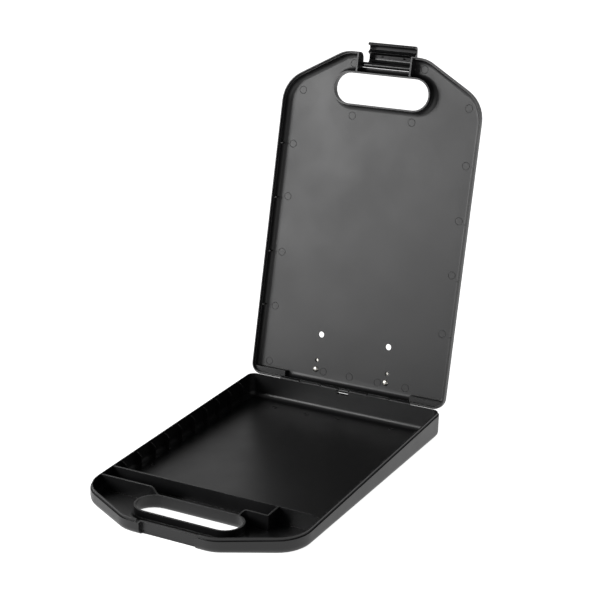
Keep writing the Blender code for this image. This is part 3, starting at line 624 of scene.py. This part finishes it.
@dataclass
class Latch:
    """The front latch, open, with the two small stops on its flap.

    Attributes:
        stop_offset: Distance of each stop from the middle.
        stop_size: A stop's width, height and reach.
        stop_centre: The stops' place from the latch's pivot, as (Y, Z), latch open.
        stop_round: Radius on a stop's edges.
        stop_segments: How many flat strips stand for that radius.
    """

    stop_offset: float = 13.2 * MM
    stop_size: tuple[float, float, float] = (2.6 * MM, 1.5 * MM, 1.5 * MM)
    stop_centre: tuple[float, float] = (11.9 * MM, 7.9 * MM)
    stop_round: float = 0.45 * MM
    stop_segments: int = 3

    def dress(self) -> None:
        """Give the latch and its axle their finishes."""
        dress_node("latch", LATCH_FINISH)
        dress_node("latch_pin", ROD_FINISH)

    def flap_stops(self) -> bpy.types.Object:
        """Make the two rounded stops that limit how far the flap can flex.

        Returns:
            The piece.
        """
        _, pivot_y, pivot_z = joint_place("latch_pivot")
        width, height, reach = self.stop_size
        y, z = self.stop_centre
        builder = bmesh.new()
        for side in (-1, 1):
            made = bmesh.ops.create_cube(builder, size=1.0)["verts"]
            centre = (side * self.stop_offset, pivot_y + y, pivot_z + z)
            bmesh.ops.scale(builder, vec=(width, reach, height), verts=made)
            bmesh.ops.translate(builder, vec=centre, verts=made)
        bmesh.ops.bevel(
            builder, geom=list(builder.edges), offset=self.stop_round,
            segments=self.stop_segments, affect="EDGES", profile=0.5,
        )
        return detail("latch_flap_stops", builder, Body.LATCH, LATCH_FINISH)

    def build(self) -> None:
        """Dress the latch and add its details."""
        self.dress()
        self.flap_stops()


@dataclass
class SpringClip:
    """The riveted steel clip on the writing face.

    Attributes:
        plated: Nodes of pressed and plated steel.
        sprung: Nodes of spring wire.
    """

    plated: tuple[str, ...] = (
        "clip_base_plate", "clip_jaw", "clip_pin", "rivet_left", "rivet_right",
    )
    sprung: tuple[str, ...] = ("clip_spring_left", "clip_spring_right")

    def build(self) -> None:
        """Give the clip's parts their metals."""
        for node in self.plated:
            dress_node(node, NICKEL_FINISH)
        for node in self.sprung:
            dress_node(node, SPRING_FINISH)


@dataclass
class HingeLine:
    """The steel rod through the knuckles."""

    def build(self) -> None:
        """Give the rod its metal."""
        dress_node("hinge_pin", ROD_FINISH)


# ---------------------------------------------------------------- studio

@dataclass(frozen=True)
class SoftBox:
    """One large soft lamp.

    Attributes:
        name: The lamp's name.
        position: Where it stands, in metres.
        target: The point that it faces.
        size: Its width and height, in metres.
        power: Its power in watts.
    """

    name: str
    position: tuple[float, float, float]
    target: tuple[float, float, float]
    size: tuple[float, float]
    power: float

    def build(self) -> bpy.types.Object:
        """Make the lamp.

        Returns:
            The lamp's object.
        """
        data = bpy.data.lights.new(self.name, "AREA")
        data.shape = "RECTANGLE"
        data.size, data.size_y = self.size
        data.energy = self.power
        lamp = bpy.data.objects.new(self.name, data)
        bpy.context.scene.collection.objects.link(lamp)
        lamp.location = self.position
        facing = Vector(self.target) - Vector(self.position)
        lamp.rotation_mode = "QUATERNION"
        lamp.rotation_quaternion = facing.to_track_quat("-Z", "Y")
        return lamp


@dataclass
class Studio:
    """White sweep, soft lamps and the camera.

    Attributes:
        floor_half: Half the side of the floor.
        floor_drop: How far the floor lies under the tray.
        sky: Strength of the white surround towards each side, in the part's axes.
        sky_falloff: Power by which each side's light narrows towards its axis.
        backdrop: Strength of the surround as the camera sees it.
        floor_glow: Strength of the floor's own light on the object.
        floor_white: Strength of the floor's own light as the camera sees it.
        fibre_mm: Size of the clumps of fibre in the floor's paper.
        lamps: The soft lamps.
        camera_place: Where the camera stands, in metres.
        azimuth: The camera's angle round the object, in degrees.
        elevation: Its angle above the horizon, in degrees.
        roll: Its turn about its own axis, in degrees.
        lens: Its focal length in mm.
        sensor: Width of its sensor in mm.
    """

    floor_half: float = 6.0
    floor_drop: float = 0.2 * MM
    sky: tuple[tuple[tuple[float, float, float], float], ...] = (
        ((-1.0, 0.0, 0.0), 1.05), ((1.0, 0.0, 0.0), 0.35), ((0.0, -1.0, 0.0), 0.33),
        ((0.0, 1.0, 0.0), 0.60), ((0.0, 0.0, 1.0), 0.03),
    )
    sky_falloff: float = 2.0
    backdrop: float = 1.05
    floor_glow: float = 0.75
    floor_white: float = 0.95
    fibre_mm: float = 2.5
    lamps: tuple[SoftBox, ...] = (
        SoftBox("key_front_left", (-1.5, -2.1, 1.0), (0.0, 0.2, 0.25), (1.0, 1.0), 42.5),
        SoftBox("low_front_left", (-1.6, -2.2, 0.35), (0.0, 0.2, 0.25), (1.0, 0.7), 5.0),
    )
    camera_place: tuple[float, float, float] = (0.69954, -1.30743, 0.65354)
    azimuth: float = 26.88
    elevation: float = 17.45
    roll: float = 1.53
    lens: float = 93.45
    sensor: float = 36.0

    def floor(self) -> bpy.types.Object:
        """Lay the pale floor.

        Returns:
            The floor.
        """
        builder = bmesh.new()
        bmesh.ops.create_grid(builder, x_segments=1, y_segments=1, size=self.floor_half)
        mesh = bpy.data.meshes.new("studio_floor")
        builder.to_mesh(mesh)
        builder.free()
        floor = bpy.data.objects.new("studio_floor", mesh)
        bpy.context.scene.collection.objects.link(floor)
        floor.location.z = -self.floor_drop
        # Matt white paper. It gives the eye a plain ground with no sheen, a little uneven in tone.
        material, tree = new_tree("white_paper_sweep")
        place = add_node(tree, "ShaderNodeTexCoord")
        fibre = add_node(tree, "ShaderNodeTexNoise", {
            "Vector": place.outputs["Object"], "Scale": 1 / (self.fibre_mm * MM),
        })
        tone = add_node(tree, "ShaderNodeMix", {
            0: fibre.outputs["Fac"],
            COLOUR_A: linear("#f6f6f6"), COLOUR_B: linear("#fcfcfc"),
        }, data_type="RGBA")
        ray = add_node(tree, "ShaderNodeLightPath")
        glow = add_node(tree, "ShaderNodeMix", {
            0: ray.outputs["Is Camera Ray"],
            FLOAT_A: self.floor_glow, FLOAT_B: self.floor_white,
        }, data_type="FLOAT")
        shader = add_node(tree, "ShaderNodeBsdfPrincipled", {
            "Base Color": tone.outputs[COLOUR_OUT], "Roughness": 0.9, "Specular IOR Level": 0.0,
            "Emission Color": WHITE, "Emission Strength": glow.outputs[FLOAT_OUT],
        })
        add_node(tree, "ShaderNodeOutputMaterial", {"Surface": shader.outputs["BSDF"]})
        mesh.materials.append(material)
        return floor

    def surround(self) -> None:
        """Light the object from each side at its own strength, before a white backdrop."""
        world = bpy.data.worlds.new("white_surround")
        bpy.context.scene.world = world
        world.use_nodes = True
        tree = world.node_tree
        tree.nodes.clear()
        seen = add_node(tree, "ShaderNodeBackground", {
            "Color": WHITE, "Strength": self.backdrop,
        })
        towards = add_node(tree, "ShaderNodeTexCoord").outputs["Generated"]
        total: bpy.types.NodeSocket | float = 0.0
        for axis, strength in self.sky:
            along = add_node(tree, "ShaderNodeVectorMath", {
                0: towards, 1: axis,
            }, operation="DOT_PRODUCT")
            facing = add_node(tree, "ShaderNodeMath", {
                0: along.outputs["Value"], 1: 0.0,
            }, operation="MAXIMUM").outputs[0]
            share = add_node(tree, "ShaderNodeMath", {
                0: facing, 1: self.sky_falloff,
            }, operation="POWER")
            total = add_node(tree, "ShaderNodeMath", {
                0: share.outputs[0], 1: strength, 2: total,
            }, operation="MULTIPLY_ADD").outputs[0]
        lit = add_node(tree, "ShaderNodeBackground", {
            "Color": WHITE, "Strength": total,
        })
        ray = add_node(tree, "ShaderNodeLightPath")
        mix = add_node(tree, "ShaderNodeMixShader", {
            0: ray.outputs["Is Camera Ray"], 1: lit.outputs[0], 2: seen.outputs[0],
        })
        add_node(tree, "ShaderNodeOutputWorld", {"Surface": mix.outputs[0]})

    def camera(self) -> bpy.types.Object:
        """Set up the camera.

        Returns:
            The camera.
        """
        data = bpy.data.cameras.new("camera")
        data.lens, data.sensor_width = self.lens, self.sensor
        camera = bpy.data.objects.new("camera", data)
        bpy.context.scene.collection.objects.link(camera)
        round_it, above = radians(self.azimuth), radians(self.elevation)
        back = Vector((
            sin(round_it) * cos(above), -cos(round_it) * cos(above), sin(above),
        ))
        camera.location = self.camera_place
        camera.rotation_mode = "QUATERNION"
        turned = Quaternion((0, 0, 1), radians(self.roll))
        camera.rotation_quaternion = (-back).to_track_quat("-Z", "Y") @ turned
        bpy.context.scene.camera = camera
        return camera

    def build(self) -> None:
        """Set up the whole studio."""
        self.floor()
        self.surround()
        for lamp in self.lamps:
            lamp.build()
        self.camera()
        bpy.context.scene.view_settings.view_transform = "Standard"


# ---------------------------------------------------------------- main


def main() -> None:
    """Build the sub-assemblies in order, then the studio."""
    logging.basicConfig(level=logging.INFO, format="%(name)s: %(message)s")
    place = lid_place()
    for assembly in (Tray(), Lid(place), Latch(), SpringClip(), HingeLine(), Studio()):
        assembly.build()
        LOG.info("built %s", type(assembly).__name__)


if __name__ == "__main__":
    main()
